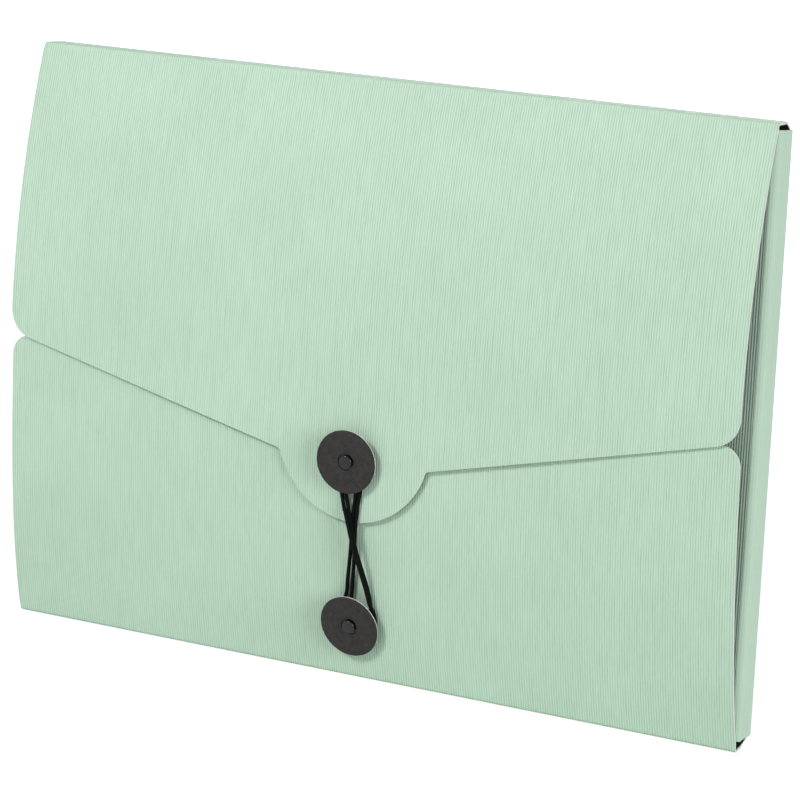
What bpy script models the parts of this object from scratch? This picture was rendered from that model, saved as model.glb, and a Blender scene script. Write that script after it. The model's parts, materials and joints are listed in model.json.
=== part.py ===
"""Elastic closure folder: lined card panels with scored folds, two riveted buttons and a doubled elastic.

Metres, +Z up. The folder stands closed on its bottom spine with its front towards -Y. The origin is the
middle of the bottom spine's underside.
"""

import math

import bmesh
import bpy
from mathutils import Vector

# Folder, over the outside
HEIGHT = 0.230
WIDTH = 0.331
DEPTH = 0.01035

# Card, its lining and the scored folds
CARD = 0.0010
LINING = 0.00018
GLUE = 0.00003
CREASE = 0.0004
FLAP_REST = 0.0003
STACK = CARD + GLUE + LINING

# Spines, set back from the folder's ends. Towards the back the end spines narrow and the side spines shorten
END_SPINE_SETBACK = 0.0007
TOP_SPINE_TAPER = 0.0017
BOTTOM_SPINE_TAPER = 0.0028
SIDE_SPINE_SETBACK = 0.0027
SIDE_SPINE_FOOT = 0.0040
SIDE_SPINE_HEAD_TAPER = 0.0003
SIDE_SPINE_FOOT_TAPER = 0.0013
END_SPINE_WIDTH = WIDTH - 2 * END_SPINE_SETBACK

# Front flaps
FLAP_SETBACK = 0.0005
FLAP_WIDTH = WIDTH - 2 * FLAP_SETBACK
FLAP_EASE = 0.004
LOWER_FLAP_TOP = 0.1139
LOWER_CORNER = 0.0075
LOWER_BOW = 0.0136
LOWER_BOW_REACH = 0.050
UPPER_SPRING = 0.26
UPPER_EDGE_AT_SIDE = 0.1154
UPPER_EDGE_ANGLE = math.radians(12.4)
UPPER_CORNER = 0.0115
TAB_RADIUS = 0.0349
TAB_TIP = 0.0623
TAB_FILLET = 0.003

# Side flaps
SIDE_FLAP_REACH = 0.050
SIDE_FLAP_SETBACK = 0.005
SIDE_FLAP_TAPER = 0.080
SIDE_FLAP_CORNER = 0.008

# Buttons, rivets and their small parts
UPPER_RIVET_Z = 0.0868
LOWER_RIVET_Z = 0.0228
UPPER_LEAN = (math.radians(4.2), math.radians(6.9))
LOWER_LEAN = (math.radians(6.6), math.radians(4.3))
BUTTON_RADIUS = 0.0124
BUTTON_THICK = 0.0008
SHANK_RADIUS = 0.0014
HEAD_RADIUS = 0.0029
HEAD_RISE = 0.0009
SPACER_RADIUS = 0.0030
SPACER_HEIGHT = 0.0034
SPACER_SEAT = 0.0005
CAP_RADIUS = 0.0040
CAP_THICK = 0.0008
CAP_SOCKET = 0.0005
SHANK_BITE = 0.0002
SHANK_SIDE_PLAY = 0.0002
HOLE_SIDE_PLAY = 0.0005
SEAT_GAP = 0.0001

# Elastic cord and its crimp sleeve
CORD = 0.0015
SLEEVE_LENGTH = 0.0050
SLEEVE_WALL = 0.0004
SLEEVE_PLAY = 0.0002
SLEEVE_ABOVE = 0.0066
SLEEVE_LIFT = 0.0015

# How finely curves are cut, with steps along a bow crowded towards its fold
BOW_STEPS = 22
BOW_CROWDING = 1.3
DOME_STEPS = 6
TAB_STEPS = 18
TURN_STEPS = 48
CORNER_STEP = math.radians(15)
CORD_STEPS = 2
CORD_SIDES = 2
SHARP_EDGE = math.radians(35)
WELD = 1e-6

HALF_DEPTH = DEPTH / 2
HALF_WIDTH = WIDTH / 2
TAB_REST = CAP_THICK + SEAT_GAP + FLAP_REST
CUT_MARGIN = 0.004
CUT_FRONT = -0.060
CUT_BACK = 0.020

# Route of the elastic: the rivet it is measured from, then across, above and off the flap.
UPPER, LOWER = "upper", "lower"
ROUTE = (
    (UPPER, 0.0003, SLEEVE_ABOVE, SLEEVE_LIFT),
    (UPPER, 0.0015, SLEEVE_ABOVE, SLEEVE_LIFT),
    (UPPER, 0.0030, SLEEVE_ABOVE, SLEEVE_LIFT),
    (UPPER, 0.0048, 0.0059, 0.0014),
    (UPPER, 0.0061, 0.0038, 0.0011),
    (UPPER, 0.0066, 0.0002, 0.0010),
    (UPPER, 0.0060, -0.0060, 0.0010),
    (UPPER, 0.0050, -0.0123, 0.0010),
    (UPPER, 0.0040, -0.0178, 0.0010),
    (UPPER, 0.0034, -0.0227, 0.0010),
    (UPPER, 0.0028, -0.0280, 0.0010),
    (UPPER, 0.0020, -0.0357, 0.0010),
    (LOWER, 0.0013, 0.0220, 0.0010),
    (LOWER, 0.0006, 0.0165, 0.0010),
    (LOWER, -0.0002, 0.0110, 0.0010),
    (LOWER, -0.0016, 0.0068, 0.0010),
    (LOWER, -0.0034, 0.0032, 0.0010),
    (LOWER, -0.0041, 0.0000, 0.0010),
    (LOWER, -0.0032, -0.0030, 0.0010),
    (LOWER, 0.0000, -0.0046, 0.0010),
    (LOWER, 0.0044, -0.0038, 0.0010),
    (LOWER, 0.0076, 0.0002, 0.0010),
    (LOWER, 0.0084, 0.0046, 0.0010),
    (LOWER, 0.0082, 0.0086, 0.0010),
    (LOWER, 0.0075, 0.0137, 0.0012),
    (LOWER, 0.0060, 0.0214, 0.0023),
    (LOWER, 0.0040, 0.0288, 0.0027),
    (UPPER, 0.0030, -0.0302, 0.0027),
    (UPPER, 0.0017, -0.0227, 0.0026),
    (UPPER, 0.0001, -0.0180, 0.0017),
    (UPPER, -0.0014, -0.0132, 0.0010),
    (UPPER, -0.0030, -0.0062, 0.0010),
    (UPPER, -0.0041, -0.0005, 0.0010),
    (UPPER, -0.0030, 0.0028, 0.0010),
    (UPPER, 0.0000, 0.0041, 0.0010),
    (UPPER, 0.0030, 0.0028, 0.0010),
    (UPPER, 0.0042, -0.0005, 0.0010),
    (UPPER, 0.0039, -0.0060, 0.0010),
    (UPPER, 0.0031, -0.0125, 0.0010),
    (UPPER, 0.0024, -0.0178, 0.0010),
    (UPPER, 0.0018, -0.0228, 0.0010),
    (UPPER, 0.0012, -0.0281, 0.0010),
    (UPPER, 0.0002, -0.0360, 0.0010),
    (LOWER, -0.0007, 0.0226, 0.0010),
    (LOWER, -0.0016, 0.0173, 0.0010),
    (LOWER, -0.0026, 0.0112, 0.0010),
    (LOWER, -0.0045, 0.0062, 0.0010),
    (LOWER, -0.0059, 0.0005, 0.0010),
    (LOWER, -0.0048, -0.0045, 0.0010),
    (LOWER, 0.0000, -0.0066, 0.0010),
    (LOWER, 0.0056, -0.0058, 0.0010),
    (LOWER, 0.0094, -0.0008, 0.0010),
    (LOWER, 0.0101, 0.0042, 0.0014),
    (LOWER, 0.0088, 0.0088, 0.0025),
    (LOWER, 0.0077, 0.0139, 0.0028),
    (LOWER, 0.0062, 0.0217, 0.0040),
    (LOWER, 0.0041, 0.0291, 0.0044),
    (UPPER, 0.0030, -0.0299, 0.0044),
    (UPPER, 0.0012, -0.0225, 0.0041),
    (UPPER, -0.0013, -0.0180, 0.0025),
    (UPPER, -0.0031, -0.0135, 0.0012),
    (UPPER, -0.0050, -0.0062, 0.0010),
    (UPPER, -0.0063, 0.0002, 0.0010),
    (UPPER, -0.0060, 0.0038, 0.0011),
    (UPPER, -0.0048, 0.0059, 0.0014),
    (UPPER, -0.0030, SLEEVE_ABOVE, SLEEVE_LIFT),
    (UPPER, -0.0015, SLEEVE_ABOVE, SLEEVE_LIFT),
    (UPPER, -0.0003, SLEEVE_ABOVE, SLEEVE_LIFT),
)


def material(name, colour, roughness, metallic=0.0):
    made = bpy.data.materials.new(name)
    made.use_nodes = True
    made.diffuse_color = (*colour, 1.0)
    shader = made.node_tree.nodes["Principled BSDF"]
    shader.inputs["Base Color"].default_value = (*colour, 1.0)
    shader.inputs["Roughness"].default_value = roughness
    shader.inputs["Metallic"].default_value = metallic
    return made


def world_of(empty):
    """Where an empty that sits unturned under its parents is in the world."""
    place = Vector()
    while empty is not None:
        place += empty.location
        empty = empty.parent
    return place


def fold(name, point, parent=None):
    """Empty on a fold line, which carries every piece that turns about that fold."""
    empty = bpy.data.objects.new(name, None)
    bpy.context.collection.objects.link(empty)
    empty.location = Vector(point) - world_of(parent)
    empty.parent = parent
    return empty


def finish(name, bm, look, parent):
    """Object from a closed mesh, in the frame of its parent."""
    bmesh.ops.recalc_face_normals(bm, faces=bm.faces)
    mesh = bpy.data.meshes.new(name)
    bm.to_mesh(mesh)
    bm.free()
    if look is not None:
        mesh.materials.append(look)
    piece = bpy.data.objects.new(name, mesh)
    bpy.context.collection.objects.link(piece)
    piece.parent = parent
    return piece


def placed(name, bm, look, carrier):
    """Object from a mesh drawn in the world and carried by a fold."""
    bmesh.ops.translate(bm, verts=bm.verts, vec=-world_of(carrier))
    return finish(name, bm, look, carrier)


def helper(piece):
    piece.hide_render = True
    piece.display_type = "WIRE"
    return piece


def cut(piece, tool, operation):
    modifier = piece.modifiers.new(tool.name, "BOOLEAN")
    modifier.operation = operation
    modifier.solver = "EXACT"
    modifier.object = tool


def rounded(corners):
    """Outline through corners (across, up, radius), with each corner drawn as an arc of its radius."""
    points = []
    for index, (across, up, radius) in enumerate(corners):
        here = Vector((across, up))
        if radius == 0:
            points.append(here)
            continue
        back = (Vector(corners[index - 1][:2]) - here).normalized()
        ahead = (Vector(corners[(index + 1) % len(corners)][:2]) - here).normalized()
        half = back.angle(ahead) / 2
        centre = here + (back + ahead).normalized() * radius / math.sin(half)
        start = here + back * radius / math.tan(half) - centre
        end = here + ahead * radius / math.tan(half) - centre
        sweep = start.angle_signed(end)
        steps = max(2, round(abs(sweep) / CORNER_STEP))
        for step in range(steps + 1):
            angle = -sweep * step / steps
            turned_x = start.x * math.cos(angle) - start.y * math.sin(angle)
            turned_y = start.x * math.sin(angle) + start.y * math.cos(angle)
            points.append(centre + Vector((turned_x, turned_y)))
    return points


def skin(bm, first, second):
    """Closes the solid between two loops of the same number of points."""
    near = [bm.verts.new(point) for point in first]
    far = [bm.verts.new(point) for point in second]
    bm.faces.new(near)
    bm.faces.new(reversed(far))
    for index in range(len(near)):
        bm.faces.new((near[index - 1], near[index], far[index], far[index - 1]))


def flat_panel(name, outline, place, carrier, looks):
    """Flat card panel and its lining. outline(depth) narrows at folds, place(a, b, depth) is in the world."""
    layers = ((name, 0.0, CARD), (name + "_lining", CARD + GLUE, STACK))
    for (layer, near, far), look in zip(layers, looks):
        bm = bmesh.new()
        loops = [[place(point[0], point[1], depth) for point in outline(depth)] for depth in (near, far)]
        skin(bm, *loops)
        placed(layer, bm, look, carrier)


def lower_bow(rise):
    """How far the lower flap stands out at a height above its fold."""
    return LOWER_BOW * (1 - math.exp(-rise / LOWER_BOW_REACH))


def upper_over_lower(z):
    """The upper flap's outer face where it lies over the lower flap, clear of the rivet's cap at the tab."""
    share = min(1.0, (LOWER_FLAP_TOP - z) / (LOWER_FLAP_TOP - UPPER_RIVET_Z - CAP_RADIUS))
    smooth = share * share * (3 - 2 * share)
    return lower_bow(z) + STACK + FLAP_REST + (TAB_REST - FLAP_REST) * smooth


def upper_bow(drop):
    """How far the upper flap stands out below its fold: it springs out, then follows the lower flap."""
    z = HEIGHT - drop
    if z <= LOWER_FLAP_TOP:
        return upper_over_lower(z)
    span = HEIGHT - LOWER_FLAP_TOP
    meeting = upper_over_lower(LOWER_FLAP_TOP)
    slope = (upper_over_lower(LOWER_FLAP_TOP - CREASE) - meeting) / CREASE
    t = drop / span
    leave = (t**3 - 2 * t**2 + t) * UPPER_SPRING * span
    arrive = (t**3 - t**2) * slope * span
    return leave + arrive + (3 * t**2 - 2 * t**3) * meeting


class Flap:
    """A bowed front flap: its fold height, which way it runs from the fold and how it bows."""

    def __init__(self, fold_z, way, bow, reach):
        self.fold_z = fold_z
        self.way = way
        self.bow = bow
        self.reach = reach

    def slope(self, run):
        return (self.bow(run + CREASE / 2) - self.bow(run - CREASE / 2)) / CREASE

    def point(self, run, depth):
        """Point of the flap's section at a run from the fold and a depth behind its outer face."""
        steep = self.slope(run)
        inward = Vector((0.0, 1.0, self.way * steep)).normalized()
        return Vector((0.0, -HALF_DEPTH - self.bow(run), self.fold_z + self.way * run)) + inward * depth

    def face(self, z):
        """Y of the outer face at a height."""
        return self.point((z - self.fold_z) * self.way, 0.0).y

    def section(self, near, far):
        """Points along both faces of one layer, which starts further from the fold the deeper it lies."""
        loops = []
        for depth in (near, far):
            start = CREASE + depth
            shares = [(step / BOW_STEPS) ** BOW_CROWDING for step in range(BOW_STEPS + 1)]
            loops.append([self.point(start + (self.reach - start) * share, depth) for share in shares])
        return loops

    def sheet(self, name, near, far, look, carrier, outline, hole):
        """One layer of the flap, cut to its outline and pierced for the rivet."""
        bm = bmesh.new()
        half = FLAP_WIDTH / 2 + CUT_MARGIN
        sides = []
        loops = self.section(near, far)
        for across in (-half, half):
            shift = Vector((across, 0.0, 0.0))
            sides.append([[bm.verts.new(point + shift) for point in loop] for loop in loops])
        around = (sides[0][0], sides[1][0], sides[1][1], sides[0][1])
        for one, two in zip(around, around[1:] + around[:1]):
            for step in range(BOW_STEPS):
                bm.faces.new((one[step], two[step], two[step + 1], one[step + 1]))
        for step in (0, BOW_STEPS):
            bm.faces.new([row[step] for row in around])
        sheet = placed(name, bm, look, carrier)
        cut(sheet, outline, "INTERSECT")
        cut(sheet, hole, "DIFFERENCE")


def outline_tool(name, points, carrier):
    """Block whose outline trims a bowed flap."""
    bm = bmesh.new()
    loops = [[Vector((point[0], y, point[1])) for point in points] for y in (CUT_FRONT, CUT_BACK)]
    skin(bm, *loops)
    return helper(placed(name, bm, None, carrier))


def turned(name, profile, look, parent):
    """Round piece about the parent's Z axis, from its half section (radius, height)."""
    bm = bmesh.new()
    points = [bm.verts.new((radius, 0.0, height)) for radius, height in profile]
    edges = [bm.edges.new((points[index - 1], points[index])) for index in range(len(points))]
    bmesh.ops.spin(
        bm,
        geom=points + edges,
        cent=(0, 0, 0),
        axis=(0, 0, 1),
        angle=2 * math.pi,
        steps=TURN_STEPS,
        use_merge=True,
    )
    bmesh.ops.remove_doubles(bm, verts=bm.verts, dist=WELD)
    bmesh.ops.dissolve_degenerate(bm, dist=WELD, edges=bm.edges)
    piece = finish(name, bm, look, parent)
    piece.data.shade_smooth()
    piece.data.set_sharp_from_angle(angle=SHARP_EDGE)
    return piece


def ring(inner, outer, bottom, top):
    return ((inner, bottom), (outer, bottom), (outer, top), (inner, top))


def frame_on(name, point, outward, carrier):
    """Empty whose Z axis runs outward from a point of a flap."""
    empty = fold(name, point, carrier)
    empty.rotation_euler = outward.to_track_quat("Z", "Y").to_euler()
    return empty


def seat_on(flap, z):
    """Point of a flap's outer face on the middle line, with the normal there."""
    point = Vector((0.0, flap.face(z), z))
    steep = flap.slope((z - flap.fold_z) * flap.way)
    return point, Vector((0.0, -1.0, -flap.way * steep)).normalized()


def rivet_hole(name, seat):
    reach = STACK + CUT_MARGIN
    radius = SHANK_RADIUS + HOLE_SIDE_PLAY
    profile = ((0.0, -reach), (radius, -reach), (radius, reach), (0.0, reach))
    return helper(turned(name, profile, None, seat))


def button_set(name, seat, axis, looks):
    """Rivet, spacer, turning button and inner cap. The cap is square to the flap, the rest leans."""
    spacer_top = SPACER_SEAT + SPACER_HEIGHT
    button_top = spacer_top + SEAT_GAP + BUTTON_THICK
    head_foot = button_top + SEAT_GAP
    shank_end = -(STACK + SEAT_GAP + SHANK_BITE)
    bore = SHANK_RADIUS + SHANK_SIDE_PLAY
    spacer = ring(bore, SPACER_RADIUS, SPACER_SEAT, spacer_top)
    turned(name + "_spacer", spacer, looks["plastic"], axis)
    button = ring(bore, BUTTON_RADIUS, spacer_top + SEAT_GAP, button_top)
    turned(name + "_button", button, looks["button"], axis)
    dome = []
    for step in range(DOME_STEPS + 1):
        angle = math.pi / 2 * step / DOME_STEPS
        dome.append((HEAD_RADIUS * math.cos(angle), head_foot + HEAD_RISE * math.sin(angle)))
    shank = [(0.0, shank_end), (SHANK_RADIUS, shank_end), (SHANK_RADIUS, head_foot)]
    turned(name + "_rivet", shank + dome, looks["rivet"], axis)
    cap_top = -(STACK + SEAT_GAP)
    socket = SHANK_RADIUS + HOLE_SIDE_PLAY
    cap = (
        (0.0, cap_top - CAP_THICK),
        (CAP_RADIUS, cap_top - CAP_THICK),
        (CAP_RADIUS, cap_top),
        (socket, cap_top),
        (socket, cap_top - CAP_SOCKET),
        (0.0, cap_top - CAP_SOCKET),
    )
    turned(name + "_rivet_cap", cap, looks["rivet"], seat)


def lean(normal, angles):
    """A flap's normal leaned down and to the right."""
    down, right = angles
    level = math.asin(-normal.z) + down
    return Vector((math.sin(right) * math.cos(level), -math.cos(right) * math.cos(level), -math.sin(level)))


def smooth_through(points, steps):
    """Points of a smooth curve through the given ones."""
    path = []
    for index in range(len(points) - 1):
        before = points[max(index - 1, 0)]
        start = points[index]
        end = points[index + 1]
        after = points[min(index + 2, len(points) - 1)]
        for step in range(steps):
            t = step / steps
            path.append(
                0.5
                * (
                    2 * start
                    + (end - before) * t
                    + (2 * before - 5 * start + 4 * end - after) * t**2
                    + (3 * start - before - 3 * end + after) * t**3
                )
            )
    path.append(points[-1])
    return path


def cord_bed(z, upper, lower):
    """Y of the face that the elastic lies on: the tab, then straight from its tip to the lower rivet."""
    if z >= TAB_TIP:
        return upper.face(z)
    share = (z - LOWER_RIVET_Z) / (TAB_TIP - LOWER_RIVET_Z)
    straight = lower.face(LOWER_RIVET_Z) + share * (upper.face(TAB_TIP) - lower.face(LOWER_RIVET_Z))
    return min(lower.face(z), straight)


def elastic(upper, lower, looks, carrier):
    """The doubled cord from sleeve end to sleeve end, and the sleeve."""
    base = {UPPER: UPPER_RIVET_Z, LOWER: LOWER_RIVET_Z}
    route = []
    for rivet, across, above, lift in ROUTE:
        z = base[rivet] + above
        route.append(Vector((across, cord_bed(z, upper, lower) - lift, z)) - world_of(carrier))
    path = smooth_through(route, CORD_STEPS)
    curve = bpy.data.curves.new("elastic_cord", "CURVE")
    curve.dimensions = "3D"
    curve.bevel_depth = CORD / 2
    curve.bevel_resolution = CORD_SIDES
    curve.use_fill_caps = True
    curve.materials.append(looks["elastic"])
    spline = curve.splines.new("POLY")
    spline.points.add(len(path) - 1)
    for point, place in zip(spline.points, path):
        point.co = (*place, 1.0)
    cord = bpy.data.objects.new("elastic_cord", curve)
    bpy.context.collection.objects.link(cord)
    cord.parent = carrier
    bore = CORD / 2 + SLEEVE_PLAY
    half = SLEEVE_LENGTH / 2
    sleeve = turned("elastic_sleeve", ring(bore, bore + SLEEVE_WALL, -half, half), looks["sleeve"], carrier)
    sleeve.location = (route[0] + route[-1]) / 2
    sleeve.rotation_euler = (0.0, math.pi / 2, 0.0)


def on_back(a, b, depth):
    return Vector((a, HALF_DEPTH - depth, b))


def on_bottom(a, b, depth):
    return Vector((a, b, depth))


def on_top(a, b, depth):
    return Vector((a, b, HEIGHT - depth))


def back_outline(depth):
    """The back's corners are cut off between the ends of the spines."""
    inset = CREASE + depth
    side = HALF_WIDTH - inset
    foot = END_SPINE_WIDTH / 2 - BOTTOM_SPINE_TAPER
    head = END_SPINE_WIDTH / 2 - TOP_SPINE_TAPER
    low = SIDE_SPINE_FOOT + SIDE_SPINE_FOOT_TAPER
    high = HEIGHT - SIDE_SPINE_SETBACK - SIDE_SPINE_HEAD_TAPER
    right = ((foot, inset), (side, low), (side, high), (head, HEIGHT - inset))
    return right + tuple((-across, up) for across, up in reversed(right))


def end_spine_outline(depth, taper):
    half = END_SPINE_WIDTH / 2
    rear = half - taper
    edge = HALF_DEPTH - CREASE - depth
    return ((-half, -edge), (half, -edge), (rear, edge), (-rear, edge))


def bottom_spine_outline(depth):
    return end_spine_outline(depth, BOTTOM_SPINE_TAPER)


def top_spine_outline(depth):
    return end_spine_outline(depth, TOP_SPINE_TAPER)


def side_spine_outline(depth):
    edge = HALF_DEPTH - CREASE - depth
    low = SIDE_SPINE_FOOT
    high = HEIGHT - SIDE_SPINE_SETBACK
    rear_low = low + SIDE_SPINE_FOOT_TAPER
    rear_high = high - SIDE_SPINE_HEAD_TAPER
    return ((-edge, low), (edge, rear_low), (edge, rear_high), (-edge, high))


def side_flap_outline(depth):
    """Measured inwards from the fold: a tapered flap with rounded free corners."""
    start = CREASE + depth
    low = SIDE_FLAP_SETBACK
    tip = SIDE_FLAP_SETBACK + SIDE_FLAP_TAPER
    corners = (
        (start, low, 0),
        (SIDE_FLAP_REACH, tip, SIDE_FLAP_CORNER),
        (SIDE_FLAP_REACH, HEIGHT - tip, SIDE_FLAP_CORNER),
        (start, HEIGHT - low, 0),
    )
    return rounded(corners)


def upper_flap_outline():
    half = FLAP_WIDTH / 2
    root = END_SPINE_WIDTH / 2
    rise = math.tan(UPPER_EDGE_ANGLE)
    middle = UPPER_EDGE_AT_SIDE - half * rise
    centre = TAB_TIP + TAB_RADIUS
    # Where the sloping edge meets the tab's circle
    a = 1 + rise * rise
    b = rise * (middle - centre)
    c = (middle - centre) ** 2 - TAB_RADIUS**2
    meet = (-b + math.sqrt(b * b - a * c)) / a
    first = math.atan2(middle + meet * rise - centre, meet)
    last = -math.pi - first
    corners = [
        (-root, HEIGHT + CUT_MARGIN, 0),
        (root, HEIGHT + CUT_MARGIN, 0),
        (root, HEIGHT, 0),
        (half, HEIGHT - FLAP_EASE, 0),
        (half, UPPER_EDGE_AT_SIDE, UPPER_CORNER),
    ]
    for step in range(TAB_STEPS + 1):
        angle = first + (last - first) * step / TAB_STEPS
        joint = step in (0, TAB_STEPS)
        up = centre + TAB_RADIUS * math.sin(angle)
        corners.append((TAB_RADIUS * math.cos(angle), up, TAB_FILLET if joint else 0))
    corners.append((-half, UPPER_EDGE_AT_SIDE, UPPER_CORNER))
    corners.append((-half, HEIGHT - FLAP_EASE, 0))
    corners.append((-root, HEIGHT, 0))
    return rounded(corners)


def lower_flap_outline():
    half = FLAP_WIDTH / 2
    root = END_SPINE_WIDTH / 2
    corners = (
        (-root, -CUT_MARGIN, 0),
        (root, -CUT_MARGIN, 0),
        (root, 0.0, 0),
        (half, FLAP_EASE, 0),
        (half, LOWER_FLAP_TOP, LOWER_CORNER),
        (-half, LOWER_FLAP_TOP, LOWER_CORNER),
        (-half, FLAP_EASE, 0),
        (-root, 0.0, 0),
    )
    return rounded(corners)


def front_flap(name, flap, outline, rivet_z, leaning, carrier, looks):
    """Card and lining of a front flap, with its riveted button."""
    point, normal = seat_on(flap, rivet_z)
    seat = frame_on(name + "_button_seat", point, normal, carrier)
    axis = frame_on(name + "_button_axis", point, lean(normal, leaning), carrier)
    tool = outline_tool(name + "_flap_outline", outline, carrier)
    hole = rivet_hole(name + "_rivet_hole", seat)
    flap.sheet(name + "_flap", 0.0, CARD, looks["card"], carrier, tool, hole)
    flap.sheet(name + "_flap_lining", CARD + GLUE, STACK, looks["lining"], carrier, tool, hole)
    button_set(name, seat, axis, looks)


def side(name, sign, looks, back):
    """Spine and flap of one side, which fold in from the back."""
    spine_fold = fold(name + "_spine_fold", (sign * HALF_WIDTH, HALF_DEPTH, 0.0), back)
    flap_fold = fold(name + "_flap_fold", (sign * HALF_WIDTH, -HALF_DEPTH, 0.0), spine_fold)
    pair = (looks["card"], looks["lining"])

    def on_spine(a, b, depth):
        return Vector((sign * (HALF_WIDTH - depth), a, b))

    def on_flap(a, b, depth):
        return Vector((sign * (HALF_WIDTH - a), -HALF_DEPTH + depth, b))

    flat_panel(name + "_spine", side_spine_outline, on_spine, spine_fold, pair)
    flat_panel(name + "_side_flap", side_flap_outline, on_flap, flap_fold, pair)


def main():
    for old in list(bpy.data.objects):
        bpy.data.objects.remove(old)
    looks = {
        "card": material("mint_card", (0.50, 0.68, 0.54), 0.62),
        "lining": material("black_lining", (0.011, 0.011, 0.011), 0.85),
        "button": material("black_card", (0.045, 0.042, 0.042), 0.75),
        "rivet": material("black_rivet", (0.012, 0.012, 0.013), 0.28, 0.6),
        "plastic": material("black_plastic", (0.020, 0.020, 0.020), 0.50),
        "elastic": material("black_elastic", (0.012, 0.014, 0.014), 0.80),
        "sleeve": material("crimp_steel", (0.35, 0.35, 0.36), 0.35, 1.0),
    }
    pair = (looks["card"], looks["lining"])
    back = fold("back", (0.0, HALF_DEPTH, 0.0))
    top_fold = fold("top_spine_fold", (0.0, HALF_DEPTH, HEIGHT), back)
    upper_fold = fold("upper_flap_fold", (0.0, -HALF_DEPTH, HEIGHT), top_fold)
    lower_fold = fold("lower_flap_fold", (0.0, -HALF_DEPTH, 0.0), back)
    flat_panel("back_panel", back_outline, on_back, back, pair)
    flat_panel("bottom_spine", bottom_spine_outline, on_bottom, back, pair)
    flat_panel("top_spine", top_spine_outline, on_top, top_fold, pair)
    upper = Flap(HEIGHT, -1, upper_bow, HEIGHT - TAB_TIP + CUT_MARGIN)
    lower = Flap(0.0, 1, lower_bow, LOWER_FLAP_TOP + CUT_MARGIN)
    front_flap("upper", upper, upper_flap_outline(), UPPER_RIVET_Z, UPPER_LEAN, upper_fold, looks)
    front_flap("lower", lower, lower_flap_outline(), LOWER_RIVET_Z, LOWER_LEAN, lower_fold, looks)
    side("left", -1, looks, back)
    side("right", 1, looks, back)
    elastic(upper, lower, looks, upper_fold)


main()
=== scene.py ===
"""Looks of the elastic closure folder: ribbed card, lining, riveted buttons and the wound elastic.

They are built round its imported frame, in metres, with +Z up and the front towards -Y.
"""

import json
import math

import bmesh
import bpy
import numpy as np
from bpy.props import FloatProperty, FloatVectorProperty, IntProperty, PointerProperty
from mathutils import Matrix, Vector


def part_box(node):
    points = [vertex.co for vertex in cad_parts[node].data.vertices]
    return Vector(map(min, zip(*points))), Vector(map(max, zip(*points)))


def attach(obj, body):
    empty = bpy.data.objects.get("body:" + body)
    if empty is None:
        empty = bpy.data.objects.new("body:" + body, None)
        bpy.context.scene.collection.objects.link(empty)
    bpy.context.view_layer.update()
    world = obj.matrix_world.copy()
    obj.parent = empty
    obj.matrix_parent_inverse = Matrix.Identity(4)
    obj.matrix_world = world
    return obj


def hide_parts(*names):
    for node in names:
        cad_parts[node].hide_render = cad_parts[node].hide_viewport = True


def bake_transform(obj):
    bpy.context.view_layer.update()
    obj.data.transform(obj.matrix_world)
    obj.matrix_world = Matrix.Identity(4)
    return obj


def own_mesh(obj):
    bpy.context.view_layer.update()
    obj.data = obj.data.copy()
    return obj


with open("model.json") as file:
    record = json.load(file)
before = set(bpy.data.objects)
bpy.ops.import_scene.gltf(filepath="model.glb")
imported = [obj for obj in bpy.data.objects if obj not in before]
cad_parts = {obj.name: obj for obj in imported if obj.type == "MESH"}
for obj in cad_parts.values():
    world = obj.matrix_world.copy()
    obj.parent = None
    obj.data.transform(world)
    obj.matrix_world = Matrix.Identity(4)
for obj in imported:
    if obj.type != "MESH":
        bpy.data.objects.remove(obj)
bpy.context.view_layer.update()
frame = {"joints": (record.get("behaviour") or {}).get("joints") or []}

bl_info = {
    "name": "Elastic Closure Folder",
    "version": (1, 0, 0),
    "blender": (4, 5, 0),
    "location": "View3D > Sidebar > Folder",
    "description": "Ribbed card, lining, buttons and elastic of a document folder",
    "category": "Object",
}

# Sizes read from the frame
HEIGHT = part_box("top_spine")[1].z
HALF_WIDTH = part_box("right_spine")[1].x
HALF_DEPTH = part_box("back_panel")[1].y
CARD = HALF_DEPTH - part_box("back_panel")[0].y
LINED = HALF_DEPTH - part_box("back_panel_lining")[0].y
SKIN = LINED - (HALF_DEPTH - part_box("back_panel_lining")[1].y)
END_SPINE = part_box("top_spine")[1].x
SPINE_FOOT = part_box("right_spine")[0].z
SPINE_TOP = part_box("right_spine")[1].z
FLAP_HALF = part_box("upper_flap")[1].x
LOWER_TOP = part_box("lower_flap")[1].z
TAB_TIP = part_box("upper_flap")[0].z
SIDE_REACH = HALF_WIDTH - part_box("right_side_flap")[0].x
SIDE_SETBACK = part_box("right_side_flap")[0].z
SPIN = {joint["name"]: joint for joint in frame["joints"]}
UPPER_SEAT = Vector(SPIN["upper_button_spin"]["pos_m"])
LOWER_SEAT = Vector(SPIN["lower_button_spin"]["pos_m"])

# How the front flaps are cut and bowed
FLAP_EASE = 0.004
LOWER_BOW = 0.0136
LOWER_BOW_REACH = 0.050
UPPER_SPRING = 0.26
FLAP_REST = 0.0003
TAB_REST = 0.0012
LOWER_CORNER = 0.0075
UPPER_EDGE_AT_SIDE = 0.1154
UPPER_EDGE_ANGLE = math.radians(12.4)
UPPER_CORNER = 0.0115
TAB_RADIUS = 0.0349
TAB_FILLET = 0.003

# How the side flaps, the ends of the spines and the folds are cut
SIDES = (("left", -1), ("right", 1))
SIDE_TAPER = 0.080
SIDE_CORNER = 0.008
TOP_SPINE_TAPER = 0.0017
BOTTOM_SPINE_TAPER = 0.0028
SPINE_FOOT_TAPER = 0.0013
SPINE_HEAD_TAPER = 0.0003
REAR_FOOT = SPINE_FOOT + SPINE_FOOT_TAPER
REAR_TOP = SPINE_TOP - SPINE_HEAD_TAPER
FOLD_GAP = 0.00006
FOLD_LENGTH = 1.62
FOLD_END_TURN = 4

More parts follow.
